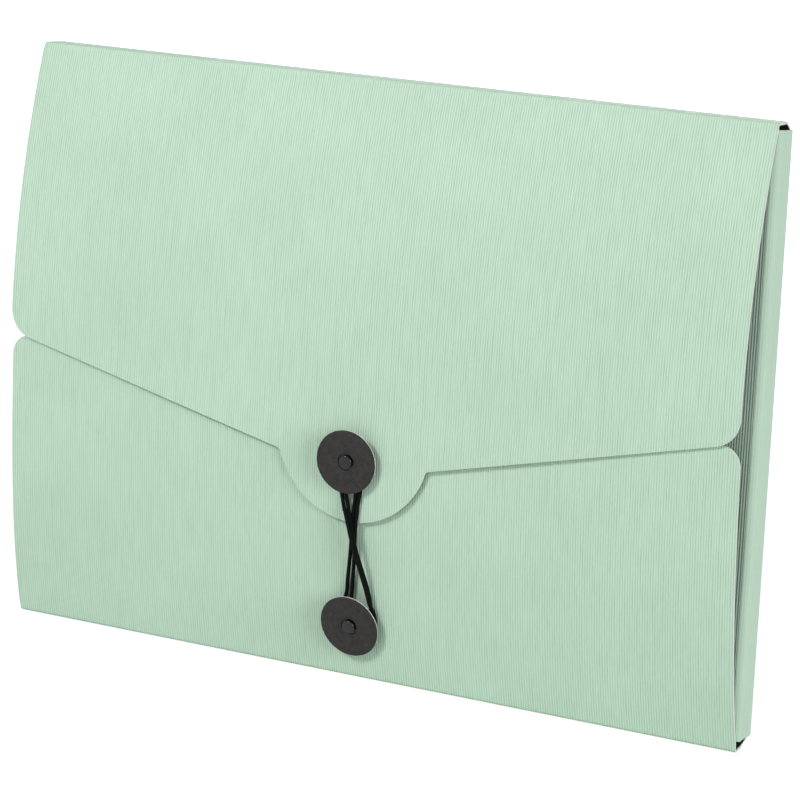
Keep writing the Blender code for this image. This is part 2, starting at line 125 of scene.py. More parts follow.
# How far each end of a fold pulls towards its corner: even pulls round it, short ones leave it flat across
EVEN_PULL = (2 / 3, 2 / 3)
FLAT_PULL = (0.5, 0.2)

# How the ribs are pressed, which also sets the painted shade in their grooves: flat along the side spines,
# and crisp on the sheltered side flaps, whose deeper relief darkens the painted groove shade in the shadowed
# gap beside the front flaps
RIB_CUTS = 8
SPINE_RELIEF = 0.3
FLAP_RELIEF_AND_SHADE = 1.4
RIB_PATCHES = (700.0, 700.0, 70.0)
RIB_GAIN = (0.2, 1.8)
# Painted light on the rib crests, painted shade in the grooves, and how fast the groove depth turns into
# that painted shade
CREST_PAINTED_LIGHT = (1.08, 1.08, 1.08, 1.0)
GROOVE_PAINTED_SHADE = (0.28, 0.40, 0.32, 1.0)
GROOVE_SHADE_RATE = 0.40

# How finely the sheets and the cord are divided
UPPER_ROWS = 28
LOWER_ROWS = 20
ROW_GATHER = 1.15
PANEL_ROWS = 6
END_SPINE_ROWS = 3
SIDE_FLAP_ROWS = 12
CREASE_POINTS = 11
LEAST_FOLD_POINTS = 9
ARC_POINTS = 13
TAB_POINTS = 49
CORD_STEPS = 6
CARD_SHARP = 40.0
TURNED_SHARP = 32.0

# Buttons: plies of card, and the dish and socket that the rivet draws into them, the socket coloured with
# the darker rivet lacquer as painted shade in the recess
SHANK = 0.0014
BORE = SHANK + 0.0002
SEAT_GAP = 0.0001
BUTTON_PLY = 0.00024
BUTTON_ROUND = 0.000312
DISH_OUTER = 0.0062
DISH_INNER = 0.0036
DISH_DEPTH = 0.00012
DISH_POINTS = 7
SOCKET_RIM = 0.0033
SOCKET_RADIUS = 0.0031
SOCKET_CHAMFER = 0.00006
SOCKET_DEPTH = 0.00048

# Rivets, spacers and caps, with the cap's rounded edge as shares of its radius and thickness
SHANK_PAST_SEAT = 0.0002
HEAD_SUNK = 0.0004
HEAD_FOOT = 0.94
HEAD_CHAMFER = 0.0001
HEAD_WALL = 0.0007
HEAD_ROUND = 0.0005
HEAD_POINTS = 8
HEAD_CROWN = 0.00008
CROWN_SHARES = (0.75, 0.5, 0.25, 0.0)
SPACER_FOOT = 0.0005
SPACER_RADIUS = 0.0030
SPACER_CHAMFER = 0.0002
CAP_RADIUS = 0.0040
CAP_THICK = 0.0008
CAP_EDGE = ((0.0, 1.0), (0.55, 1.0), (0.85, 0.8), (1.0, 0.35), (1.0, 0.0))
CAP_SOCKET = SHANK + 0.0005
CAP_SOCKET_DEPTH = 0.0005

# Cover of the elastic, and its sleeve with its crimp
THREAD_PITCH = 0.00042
THREAD_RELIEF = 0.35
SLEEVE_EASE = 0.0001
SLEEVE_WALL = 0.0004
SLEEVE_HALF = 0.0025
SLEEVE_ROUND = 0.0001
CRIMP_RADIUS = 0.9
CRIMP_HALF = 0.35

# Route of the elastic in tenths of a millimetre: the rivet it is measured from, then points across, above
# and off the flap
UPPER, LOWER = UPPER_SEAT.z, LOWER_SEAT.z
TENTHS_IN_METRE = 10000
ROUTE = (
    (UPPER, (3, 66, 15), (15, 66, 15), (30, 66, 15), (48, 59, 14), (61, 38, 11), (66, 2, 10)),
    (UPPER, (60, -60, 10), (50, -123, 10), (40, -178, 10), (34, -227, 10), (28, -280, 10), (20, -357, 10)),
    (LOWER, (13, 220, 10), (6, 165, 10), (-2, 110, 10), (-16, 68, 10), (-34, 32, 10), (-41, 0, 10)),
    (LOWER, (-32, -30, 10), (0, -46, 10), (44, -38, 10), (76, 2, 10), (84, 46, 10), (82, 86, 10)),
    (LOWER, (75, 137, 12), (60, 214, 23), (40, 288, 27)),
    (UPPER, (30, -302, 27), (17, -227, 26), (1, -180, 17), (-14, -132, 10), (-30, -62, 10), (-41, -5, 10)),
    (UPPER, (-30, 28, 10), (0, 41, 10), (30, 28, 10), (42, -5, 10), (39, -60, 10), (31, -125, 10)),
    (UPPER, (24, -178, 10), (18, -228, 10), (12, -281, 10), (2, -360, 10)),
    (LOWER, (-7, 226, 10), (-16, 173, 10), (-26, 112, 10), (-45, 62, 10), (-59, 5, 10), (-48, -45, 10)),
    (LOWER, (0, -66, 10), (56, -58, 10), (94, -8, 10), (101, 42, 14), (88, 88, 25), (77, 139, 28)),
    (LOWER, (62, 217, 40), (41, 291, 44)),
    (UPPER, (30, -299, 44), (12, -225, 41), (-13, -180, 25), (-31, -135, 12), (-50, -62, 10)),
    (UPPER, (-63, 2, 10), (-60, 38, 11), (-48, 59, 14), (-30, 66, 15), (-15, 66, 15), (-3, 66, 15)),
)

# Stage: a floor that glows where it is seen, lamps (name, place, size, power) and the camera
FLOOR_HALF = 12.0
FLOOR_DROP = 0.0002
FLOOR_GREY = (0.60, 0.60, 0.60, 1.0)
FLOOR_GLOW = {"From Min": 0.3, "From Max": 2.5, "To Min": 0.76, "To Max": 0.92}
WORLD_FILL = 0.34
WHITE = (1.0, 1.0, 1.0, 1.0)
LAMPS = (
    ("key", (-0.525, -1.84, 1.31), 0.55, 22.0),
    ("side", (3.72, -1.55, 0.75), 2.0, 80.0),
    ("back", (-1.3, 3.3, 0.45), 2.0, 52.0),
)
LENS = 193.65
SENSOR = 36.0
CLIP = (0.05, 60.0)
CAMERA_PLACE = (0.88336, -1.35718, 0.36669)
CAMERA_RIGHT = Vector((0.83428947, 0.54851401, 0.05561889))
CAMERA_DOWN = Vector((0.13271087, -0.10188321, -0.98590448))
CAMERA_AHEAD = Vector((-0.53511579, 0.82991095, -0.15779387))


def length_property(name, description, default):
    return FloatProperty(name=name, description=description, default=default, unit="LENGTH")


class FolderSizes(bpy.types.PropertyGroup):
    """Sizes of the folder's finish and small parts."""

    rib_pitch: length_property("Rib pitch", "From one rib of the card to the next", 0.001072)
    rib_depth: length_property("Rib depth", "From the top of a rib to the groove beside it", 0.00015)
    upper_fold: length_property("Upper fold reach", "Of the upper flap's fold, from its corner", 0.0012)
    lower_fold: length_property("Lower fold reach", "Of the lower flap's fold, from its corner", 0.0014)
    side_fold: length_property("Side fold reach", "Of the side flaps' folds, from their corners", 0.0026)
    back_fold: length_property("Back fold reach", "Of the folds round the back, from their corners", 0.0008)
    button_radius: length_property("Button radius", "Radius of a punched card button", 0.0124)
    button_thick: length_property("Button thickness", "Thickness of a button's card", 0.0008)
    button_lift: length_property("Button lift", "From the flap to the underside of a button", 0.0040)
    head_radius: length_property("Rivet head radius", "Radius of a rivet's head", 0.0027)
    cord: length_property("Cord diameter", "Thickness of the elastic", 0.0015)
    cord_sides: IntProperty(name="Cord sides", description="Faces round the elastic", default=20, min=8)


def colour_property(name, description, default):
    return FloatVectorProperty(
        name=name, description=description, default=default, size=3, min=0.0, max=1.0, subtype="COLOR"
    )


class FolderColours(bpy.types.PropertyGroup):
    """Colours of the folder's materials."""

    mint: colour_property("Card", "Printed face of the card", (0.556, 0.745, 0.599))
    core: colour_property("Card core", "Cut edge of the card", (0.78, 0.90, 0.80))
    lining: colour_property("Lining", "Paper on the inside", (0.011, 0.011, 0.010))
    button: colour_property("Button", "Face of the buttons", (0.0280, 0.0258, 0.0256))
    rivet: colour_property("Rivet", "Lacquer on the rivets", (0.0045, 0.0045, 0.0045))
    spacer: colour_property("Spacer", "Collars under the buttons", (0.020, 0.020, 0.020))
    elastic: colour_property("Elastic", "Cover of the cord", (0.0028, 0.0034, 0.0031))
    sleeve: colour_property("Sleeve", "Crimp that joins the cord", (0.45, 0.45, 0.46))


def sizes():
    return bpy.context.scene.folder_sizes


def colours():
    return bpy.context.scene.folder_colours


# Nodes


def add_node(tree, kind, inputs=(), **settings):
    """Node with its settings and its inputs, each a value or the socket that feeds it."""
    made = tree.nodes.new(kind)
    for key, value in settings.items():
        setattr(made, key, value)
    for key, value in dict(inputs).items():
        if isinstance(value, bpy.types.NodeSocket):
            tree.links.new(value, made.inputs[key])
        else:
            made.inputs[key].default_value = value
    return made


def calc(tree, operation, *values, **settings):
    """Result of a sum on values or sockets."""
    return add_node(tree, "ShaderNodeMath", enumerate(values), operation=operation, **settings).outputs[0]


def spread(tree, value, low, high):
    """A value from 0 to 1, spread from low to high."""
    return add_node(tree, "ShaderNodeMapRange", {"Value": value, "To Min": low, "To Max": high}).outputs[0]


def noise(tree, place, scale, detail, roughness=0.5):
    inputs = {"Vector": place, "Scale": scale, "Detail": detail, "Roughness": roughness}
    return add_node(tree, "ShaderNodeTexNoise", inputs).outputs["Fac"]


def new_group(name, kind, ins, outs):
    group = bpy.data.node_groups.new(name, kind)
    for label, socket, default in ins:
        made = group.interface.new_socket(label, in_out="INPUT", socket_type=socket)
        if default is not None:
            made.default_value = default
    for label, socket in outs:
        group.interface.new_socket(label, in_out="OUTPUT", socket_type=socket)
    return group, group.nodes.new("NodeGroupInput"), group.nodes.new("NodeGroupOutput")


# Finishes


def fibre_group():
    """Paper fibres: a tone near 1 that varies over the surface, and a height for a bump."""
    found = bpy.data.node_groups.get("paper fibres")
    if found:
        return found
    ins = (
        ("Vector", "NodeSocketVector", None),
        ("Clouds per metre", "NodeSocketFloat", 60.0),
        ("Fibres per metre", "NodeSocketFloat", 1500.0),
        ("Strength", "NodeSocketFloat", 0.05),
    )
    outs = (("Tone", "NodeSocketFloat"), ("Height", "NodeSocketFloat"))
    group, start, end = new_group("paper fibres", "ShaderNodeTree", ins, outs)
    given = start.outputs
    clouds = noise(group, given["Vector"], given["Clouds per metre"], detail=4.0)
    fibres = noise(group, given["Vector"], given["Fibres per metre"], detail=3.0, roughness=0.7)
    centred = calc(group, "ADD", calc(group, "ADD", clouds, fibres), -1.0)
    tone = calc(group, "MULTIPLY_ADD", centred, given["Strength"], 1.0)
    group.links.new(tone, end.inputs["Tone"])
    group.links.new(fibres, end.inputs["Height"])
    return group


class Finish:
    """A material under construction: its tree, its shader and the steps that most finishes share."""

    def __init__(self, name, colour, roughness, **sockets):
        self.material = bpy.data.materials.new(name)
        self.material.use_nodes = True
        self.material.diffuse_color = (*colour, 1.0)
        self.tree = self.material.node_tree
        self.shader = self.tree.nodes["Principled BSDF"]
        self.colour = (*colour, 1.0)
        self.shader.inputs["Base Color"].default_value = self.colour
        self.shader.inputs["Roughness"].default_value = roughness
        for key, value in sockets.items():
            self.shader.inputs[key.replace("_", " ")].default_value = value
        self.place = self.node("ShaderNodeTexCoord").outputs["Object"]

    def node(self, kind, inputs=(), **settings):
        return add_node(self.tree, kind, inputs, **settings)

    def attribute(self, name):
        return self.node("ShaderNodeAttribute", attribute_name=name).outputs["Fac"]

    def grain(self, scale, detail):
        return noise(self.tree, self.place, scale, detail)

    def fibres(self, clouds, fibres, strength):
        """Tone and height of paper with so many clouds and fibres to the metre."""
        values = {
            "Vector": self.place,
            "Clouds per metre": clouds,
            "Fibres per metre": fibres,
            "Strength": strength,
        }
        outputs = self.node("ShaderNodeGroup", values, node_tree=fibre_group()).outputs
        return outputs["Tone"], outputs["Height"]

    def times(self, one, two):
        """Product of two colours."""
        inputs = {0: 1.0, 6: one, 7: two}
        return self.node("ShaderNodeMix", inputs, data_type="RGBA", blend_type="MULTIPLY").outputs[2]

    def paint(self, tone, under=None):
        """Base colour, or the socket under it, times a tone."""
        base = self.colour if under is None else under
        self.tree.links.new(self.times(base, tone), self.shader.inputs["Base Color"])

    def roughen(self, value, low, high):
        self.tree.links.new(spread(self.tree, value, low, high), self.shader.inputs["Roughness"])

    def bump(self, height, strength, distance):
        made = self.node("ShaderNodeBump", {"Strength": strength, "Distance": distance, "Height": height})
        self.tree.links.new(made.outputs["Normal"], self.shader.inputs["Normal"])


def mint_card():
    """Printed face of the card, with painted shade in the grooves between its ribs and painted light on
    their crests.
    """
    finish = Finish("mint ribbed card", colours().mint, 0.60, Specular_IOR_Level=0.35)
    tone, height = finish.fibres(clouds=28.0, fibres=1400.0, strength=0.12)
    groove = finish.attribute("groove")
    # Painted shade: the deeper the groove, the darker and greener the colour, and the rib crests get painted
    # light
    painted_shade_share = calc(finish.tree, "MULTIPLY", groove, GROOVE_SHADE_RATE, use_clamp=True)
    shade = finish.node("ShaderNodeMix", {0: painted_shade_share, 6: CREST_PAINTED_LIGHT, 7: GROOVE_PAINTED_SHADE}, data_type="RGBA")
    finish.paint(tone, under=finish.times(finish.colour, shade.outputs[2]))
    finish.roughen(groove, low=0.54, high=0.70)
    finish.bump(height, strength=0.25, distance=0.00002)
    return finish.material


def card_core():
    finish = Finish("card core", colours().core, 0.85, Specular_IOR_Level=0.2)
    tone, height = finish.fibres(clouds=400.0, fibres=3000.0, strength=0.16)
    finish.paint(tone)
    finish.bump(height, strength=0.5, distance=0.00004)
    return finish.material


def black_lining():
    finish = Finish("black lining", colours().lining, 0.82, Specular_IOR_Level=0.3)
    tone, height = finish.fibres(clouds=35.0, fibres=1100.0, strength=0.6)
    finish.paint(tone)
    finish.roughen(height, low=0.74, high=0.9)
    finish.bump(height, strength=0.35, distance=0.00003)
    return finish.material


def button_card():
    finish = Finish("black button card", colours().button, 0.72, Specular_IOR_Level=0.30)
    tone, height = finish.fibres(clouds=500.0, fibres=1300.0, strength=1.5)
    finish.paint(tone)
    finish.roughen(height, low=0.62, high=0.82)
    finish.bump(height, strength=0.4, distance=0.00004)
    return finish.material


def rivet_lacquer():
    finish = Finish("black rivet lacquer", colours().rivet, 0.14, Specular_IOR_Level=0.42)
    scuffs = finish.grain(scale=1600.0, detail=5.0)
    finish.roughen(scuffs, low=0.08, high=0.20)
    finish.bump(scuffs, strength=0.06, distance=0.00003)
    return finish.material


def spacer_plastic():
    finish = Finish("black spacer plastic", colours().spacer, 0.5)
    grain = finish.grain(scale=2200.0, detail=2.0)
    finish.roughen(grain, low=0.42, high=0.6)
    finish.bump(grain, strength=0.15, distance=0.00003)
    return finish.material


def elastic_cover():
    """Fine threads wound across the cord, by the length along it, with painted shade between them and
    painted light on their tops.
    """
    finish = Finish("black elastic cover", colours().elastic, 0.80, Specular_IOR_Level=0.1)
    turns = calc(finish.tree, "MULTIPLY", finish.attribute("along"), 2 * math.pi / THREAD_PITCH)
    fuzz = finish.grain(scale=2600.0, detail=3.0)
    height = calc(finish.tree, "MULTIPLY_ADD", calc(finish.tree, "SINE", turns), THREAD_RELIEF, fuzz)
    # Painted shade in the hollows between the threads and painted light on their tops, with random fuzz in
    # the tone
    finish.paint(spread(finish.tree, height, low=0.55, high=1.5))
    finish.bump(height, strength=0.5, distance=0.00006)
    return finish.material


def sleeve_steel():
    finish = Finish("crimp steel", colours().sleeve, 0.35, Metallic=1.0)
    finish.roughen(finish.grain(scale=1800.0, detail=4.0), low=0.25, high=0.5)
    return finish.material


FINISHES = {
    "mint": mint_card,
    "core": card_core,
    "lining": black_lining,
    "button": button_card,
    "rivet": rivet_lacquer,
    "spacer": spacer_plastic,
    "elastic": elastic_cover,
    "sleeve": sleeve_steel,
}
made_finishes = {}


def look(name):
    if name not in made_finishes:
        made_finishes[name] = FINISHES[name]()
    return made_finishes[name]


# Geometry Nodes


def passed(tree, geometry, kind, **inputs):
    """Geometry after one more node."""
    return add_node(tree, "GeometryNode" + kind, {"Geometry": geometry, **inputs}).outputs[0]


def marked(tree, geometry, name, value):
    """Geometry with a value kept at each of its points."""
    inputs = {"Geometry": geometry, "Name": name, "Value": value}
    kind = "GeometryNodeStoreNamedAttribute"
    return add_node(tree, kind, inputs, data_type="FLOAT", domain="POINT").outputs[0]


def rib_tree():
    """Ribs pressed into a sheet: its face sinks between them, and face and core get their materials."""
    found = bpy.data.node_groups.get("pressed ribs")
    if found:
        return found
    ins = (
        ("Geometry", "NodeSocketGeometry", None),
        ("Pitch", "NodeSocketFloat", 0.001),
        ("Depth", "NodeSocketFloat", 0.0001),
        ("Relief", "NodeSocketFloat", 1.0),
        ("Face", "NodeSocketMaterial", None),
        ("Core", "NodeSocketMaterial", None),
    )
    outs = (("Geometry", "NodeSocketGeometry"),)
    tree, start, end = new_group("pressed ribs", "GeometryNodeTree", ins, outs)
    given = start.outputs

    def stored(name, kind):
        made = add_node(tree, "GeometryNodeInputNamedAttribute", {"Name": name}, data_type=kind)
        return made.outputs["Attribute"]

    turns = calc(tree, "DIVIDE", stored("across", "FLOAT"), given["Pitch"])
    wave = calc(tree, "COSINE", calc(tree, "MULTIPLY", turns, math.pi))
    hollow = calc(tree, "SUBTRACT", 1.0, calc(tree, "ABSOLUTE", wave))
    place = add_node(tree, "GeometryNodeInputPosition").outputs[0]
    patches = add_node(tree, "ShaderNodeVectorMath", {0: place, 1: RIB_PATCHES}, operation="MULTIPLY")
    gain = spread(tree, noise(tree, patches.outputs[0], scale=1.0, detail=2.0), *RIB_GAIN)
    groove = calc(tree, "MULTIPLY", hollow, calc(tree, "MULTIPLY", gain, given["Relief"]))
    sink = calc(tree, "MULTIPLY", groove, calc(tree, "MULTIPLY", given["Depth"], -1.0))
    inward = {0: stored("out", "FLOAT_VECTOR"), "Scale": sink}
    offset = add_node(tree, "ShaderNodeVectorMath", inward, operation="SCALE")
    # The groove depth is kept for the face material, which paints shade into the grooves from it
    sheet = marked(tree, given["Geometry"], "groove", groove)
    sheet = passed(tree, sheet, "SetPosition", Offset=offset.outputs[0])
    sheet = passed(tree, sheet, "RealizeInstances")
    sheet = passed(tree, sheet, "SetMaterial", Material=given["Core"])
    skin = stored("skin", "BOOLEAN")
    sheet = passed(tree, sheet, "SetMaterial", Selection=skin, Material=given["Face"])
    tree.links.new(sheet, end.inputs["Geometry"])
    return tree


def cord_tree():
    """Round cord along a curve, with the length along it kept for its cover."""
    ins = (
        ("Geometry", "NodeSocketGeometry", None),
        ("Diameter", "NodeSocketFloat", 0.001),
        ("Sides", "NodeSocketInt", 16),
        ("Cover", "NodeSocketMaterial", None),
    )
    outs = (("Geometry", "NodeSocketGeometry"),)
    tree, start, end = new_group("wound cord", "GeometryNodeTree", ins, outs)
    given = start.outputs
    length = add_node(tree, "GeometryNodeSplineParameter").outputs["Length"]
    curve = marked(tree, given["Geometry"], "along", length)
    ring = {"Resolution": given["Sides"], "Radius": calc(tree, "MULTIPLY", given["Diameter"], 0.5)}
    circle = add_node(tree, "GeometryNodeCurvePrimitiveCircle", ring)
    sweep = {"Curve": curve, "Profile Curve": circle.outputs[0], "Fill Caps": True}
    tube = add_node(tree, "GeometryNodeCurveToMesh", sweep).outputs[0]
    tube = passed(tree, tube, "SetShadeSmooth")
    tube = passed(tree, tube, "RealizeInstances")
    tube = passed(tree, tube, "SetMaterial", Material=given["Cover"])
    tree.links.new(tube, end.inputs["Geometry"])
    return tree


def grown(source, tree, values):
    """Plain mesh object in place of a source object, after its tree has run with these named values."""
    modifier = source.modifiers.new(tree.name, "NODES")
    modifier.node_group = tree
    keys = {item.name: item.identifier for item in tree.interface.items_tree if item.in_out == "INPUT"}
    for name, value in values.items():
        modifier[keys[name]] = value
    bpy.context.view_layer.update()
    evaluated = source.evaluated_get(bpy.context.evaluated_depsgraph_get())
    mesh = bpy.data.meshes.new_from_object(evaluated)
    name = source.name
    bpy.data.objects.remove(source)
    mesh.name = name
    return placed(name, mesh)


def placed(name, data):
    """Object in the scene, at the origin."""
    made = bpy.data.objects.new(name, data)
    bpy.context.collection.objects.link(made)
    return made


# Card sheets


def sheet_mesh(name, face, back, out, across, stride):
    """Closed sheet between two grids of points, with columns across the ribs and rows along them.

    Its back keeps one column in each stride, joined to every column of the face at the edges.
    """
    columns, rows = face.shape[:2]
    picks = sorted({*range(0, columns, stride), columns - 1})
    points = [face.reshape(-1, 3), back[:, 0], back[:, -1], back[picks, 1:-1].reshape(-1, 3)]
    total = columns * rows
    grid = np.arange(total).reshape(columns, rows)
    # Numbers of the back's points, with -1 where a column is left out
    under = np.full((columns, rows), -1)
    under[:, 0] = total + np.arange(columns)
    under[:, -1] = under[:, 0] + columns
    inner = np.arange(len(picks) * (rows - 2)).reshape(len(picks), rows - 2)
    under[picks, 1:-1] = total + 2 * columns + inner
    quads = np.stack([grid[:-1, :-1], grid[1:, :-1], grid[1:, 1:], grid[:-1, 1:]], -1).reshape(-1, 4)
    faces = quads.tolist()
    skins = len(faces)
    for column in range(columns - 1):
        faces.append((grid[column, 0], under[column, 0], under[column + 1, 0], grid[column + 1, 0]))
        faces.append((grid[column, -1], grid[column + 1, -1], under[column + 1, -1], under[column, -1]))
    for row in range(rows - 1):
        faces.append((grid[0, row], grid[0, row + 1], under[0, row + 1], under[0, row]))
        faces.append((grid[-1, row], under[-1, row], under[-1, row + 1], grid[-1, row + 1]))
    for start, stop in zip(picks, picks[1:]):
        for row in range(rows - 1):
            near, far = under[start : stop + 1, row], under[start : stop + 1, row + 1]
            faces.append([index for index in (*near, *far[::-1]) if index >= 0])
    mesh = bpy.data.meshes.new(name)
    mesh.from_pydata(np.concatenate(points).tolist(), [], [[int(i) for i in loop] for loop in faces])
    outward = np.zeros((len(mesh.vertices), 3), np.float32)
    outward[:total] = out.reshape(-1, 3)
    phase = np.zeros(len(mesh.vertices), np.float32)
    phase[:total] = np.repeat(across, rows)
    skin = np.zeros(len(mesh.polygons), bool)
    skin[:skins] = True
    mesh.attributes.new("out", "FLOAT_VECTOR", "POINT").data.foreach_set("vector", outward.ravel())
    mesh.attributes.new("across", "FLOAT", "POINT").data.foreach_set("value", phase)
    mesh.attributes.new("skin", "BOOLEAN", "FACE").data.foreach_set("value", skin)
    turn_outward(mesh)
    return placed(name, mesh)


def turn_outward(mesh):
    bm = bmesh.new()
    bm.from_mesh(mesh)
    bmesh.ops.recalc_face_normals(bm, faces=bm.faces)
    bm.to_mesh(mesh)
    bm.free()


def smooth(piece, degrees):
    piece.data.shade_smooth()
    piece.data.set_sharp_from_angle(angle=math.radians(degrees))


def lined_sheet(name, at, out, across, hold, stands_in, relief=1.0, stride=RIB_CUTS):
    """Ribbed card and the lining behind it, whose inner sides keep one column in each stride.

    at(depth) gives the grid of points at a depth behind the face.
    hold(piece, depth) fastens a layer by its inner side.
    """
    card = sheet_mesh(name + "_look", at(0.0), at(CARD), out, across, stride)
    values = {
        "Pitch": sizes().rib_pitch,
        "Depth": sizes().rib_depth,
        "Relief": relief,
        "Face": look("mint"),
        "Core": look("core"),
    }
    card = grown(card, rib_tree(), values)
    picks = sorted({*range(0, len(across), stride), len(across) - 1})
    near, far = at(LINED - SKIN)[picks], at(LINED)[picks]
    lining = sheet_mesh(name + "_lining_look", near, far, out[picks], across[picks], 1)
    lining.data.materials.append(look("lining"))
    layers = ((card, name, "mint_card", CARD), (lining, name + "_lining", "black_lining", LINED))
    for layer, node, slot, depth in layers:
        smooth(layer, CARD_SHARP)
        hold(layer, depth)
        if stands_in:
            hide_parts(node)


def riding(body):
    """Fastens both layers of a sheet to one body."""

    def hold(piece, depth):
        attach(piece, body)

    return hold


def bending(a, b, at):
    """Bakes each layer of a crease in place, fastened to no body."""

    def hold(piece, depth):
        section = at(depth)
        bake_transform(piece)

    return hold


def rib_columns(low, high):
    """Column positions from low to high, several to each rib, with both ends kept."""
    step = sizes().rib_pitch / RIB_CUTS
    inner = np.arange(math.floor(low / step) + 1, math.ceil(high / step)) * step
    inner = inner[(inner > low + step / 4) & (inner < high - step / 4)]
    return np.concatenate([[low], inner, [high]])


def between(low, high, shares):
    """Rows of each column, at shares of the way from its low end to its high end."""
    low, high = np.broadcast_arrays(low, high)
    return low[:, None] + (high - low)[:, None] * shares


def even(count):
    return np.linspace(0, 1, count)


def eased(share):
    """Share that leaves 0 and reaches 1 gently."""
    return share * share * (3 - 2 * share)


# Front flaps


def lower_bow(rise):
    """How far the lower flap stands out at a rise above its fold."""
    return LOWER_BOW * (1 - np.exp(-rise / LOWER_BOW_REACH))


def upper_over_lower(z):
    """How far the upper flap stands out where it lies on the lower one, with room for its rivet's cap."""
    share = np.clip((LOWER_TOP - z) / (LOWER_TOP - UPPER - CAP_RADIUS), 0.0, 1.0)
    return lower_bow(z) + LINED + FLAP_REST + (TAB_REST - FLAP_REST) * eased(share)


def upper_bow(drop):
    """How far the upper flap stands out below its fold: it springs out, then follows the lower flap."""
    span = HEIGHT - LOWER_TOP
    meeting = upper_over_lower(LOWER_TOP)
    step = 0.0004
    slope = (upper_over_lower(LOWER_TOP - step) - meeting) / step
    t = np.clip(drop / span, 0.0, 1.0)
    leaving = (t**3 - 2 * t**2 + t) * UPPER_SPRING * span
    arriving = (t**3 - t**2) * slope * span
    sprung = leaving + arriving + eased(t) * meeting
    return np.where(drop < span, sprung, upper_over_lower(HEIGHT - drop))


class FlapShape:
    """Section of a bowed front flap by its run from the fold."""

    def __init__(self, fold_z, way, bow):
        self.fold_z = fold_z
        self.way = way
        self.bow = bow

    def face(self, run):
        """(y, z) of the outer face and its outward normal (y, z)."""
        run = np.asarray(run, float)
        step = 0.0002
        slope = (self.bow(run + step) - self.bow(run - step)) / (2 * step)
        length = np.sqrt(1 + slope * slope)
        place = np.stack([-HALF_DEPTH - self.bow(run), self.fold_z + self.way * run], -1)
        return place, np.stack([-1 / length, -self.way * slope / length], -1)

    def face_at(self, z):
        return self.face((z - self.fold_z) * self.way)

    def y_at(self, z):
        return float(self.face_at(z)[0][0])


UPPER_SHAPE = FlapShape(HEIGHT, -1, upper_bow)
LOWER_SHAPE = FlapShape(0.0, 1, lower_bow)


def rounded(corners):
    """Points of a line through corners (across, up, radius), with each inner corner drawn as an arc."""
    points = [np.array(corners[0][:2])]
    for before, (across, up, radius), after in zip(corners, corners[1:], corners[2:]):
        here = np.array((across, up))
        if radius == 0:
            points.append(here)
            continue
        back = (np.array(before[:2]) - here) / np.linalg.norm(np.array(before[:2]) - here)
        ahead = (np.array(after[:2]) - here) / np.linalg.norm(np.array(after[:2]) - here)
        half = math.acos(np.clip(back @ ahead, -1, 1)) / 2
        middle = (back + ahead) / np.linalg.norm(back + ahead)
        centre = here + middle * radius / math.sin(half)
        start = here + back * radius / math.tan(half) - centre
        end = here + ahead * radius / math.tan(half) - centre
        for t in even(ARC_POINTS):
            arm = start * (1 - t) + end * t
            points.append(centre + arm * radius / np.linalg.norm(arm))
    points.append(np.array(corners[-1][:2]))
    return np.array(points)


def upper_edge():
    """Lower edge of the upper flap from left to right, with its tab."""
    rise = math.tan(UPPER_EDGE_ANGLE)
    middle = UPPER_EDGE_AT_SIDE - FLAP_HALF * rise
    centre = TAB_TIP + TAB_RADIUS
    a = 1 + rise * rise
    b = rise * (middle - centre)
    c = (middle - centre) ** 2 - TAB_RADIUS**2
    meet = (-b + math.sqrt(b * b - a * c)) / a
    first = math.atan2(middle + meet * rise - centre, meet)
    corners = [(-FLAP_HALF, HEIGHT, 0), (-FLAP_HALF, UPPER_EDGE_AT_SIDE, UPPER_CORNER)]
    for angle in np.linspace(-math.pi - first, first, TAB_POINTS):
        corners.append((TAB_RADIUS * math.cos(angle), centre + TAB_RADIUS * math.sin(angle), 0))
    corners[2] = (*corners[2][:2], TAB_FILLET)
    corners[-1] = (*corners[-1][:2], TAB_FILLET)
    del corners[3], corners[-2]
    corners += [(FLAP_HALF, UPPER_EDGE_AT_SIDE, UPPER_CORNER), (FLAP_HALF, HEIGHT, 0)]
    return rounded(corners)[1:-1]


def lower_edge():
    """Upper edge of the lower flap from left to right."""
    corners = (
        (-FLAP_HALF, 0, 0),
        (-FLAP_HALF, LOWER_TOP, LOWER_CORNER),
        (FLAP_HALF, LOWER_TOP, LOWER_CORNER),
        (FLAP_HALF, 0, 0),
    )
    return rounded(corners)[1:-1]


def bowed_flap(name, shape, reach, edge, rows):
    """Flap from the end of its fold to its free edge, eased off the fold at the two sides."""
    across = rib_columns(-FLAP_HALF, FLAP_HALF)
    ease = np.clip((np.abs(across) - END_SPINE) / (FLAP_HALF - END_SPINE), 0, 1) * FLAP_EASE
    start = np.maximum(reach, ease)
    end = (np.interp(across, edge[:, 0], edge[:, 1]) - shape.fold_z) * shape.way
    run = between(start, end, even(rows) ** ROW_GATHER)
    place, normal = shape.face(run)
    wide = np.broadcast_to(across[:, None], run.shape)
    face = np.concatenate([wide[..., None], place], -1)
    out = np.concatenate([np.zeros_like(wide)[..., None], normal], -1)
    lined_sheet(name, lambda depth: face - out * depth, out, across, riding(name), True)


class FOLDER_OT_front_flaps(bpy.types.Operator):
    """Bowed upper and lower flaps with their linings"""

    bl_idname = "folder.front_flaps"
    bl_label = "Front flaps"

    def execute(self, context):
        bowed_flap("upper_flap", UPPER_SHAPE, sizes().upper_fold, upper_edge(), UPPER_ROWS)
        bowed_flap("lower_flap", LOWER_SHAPE, sizes().lower_fold, lower_edge(), LOWER_ROWS)
        return {"FINISHED"}


# Flat panels


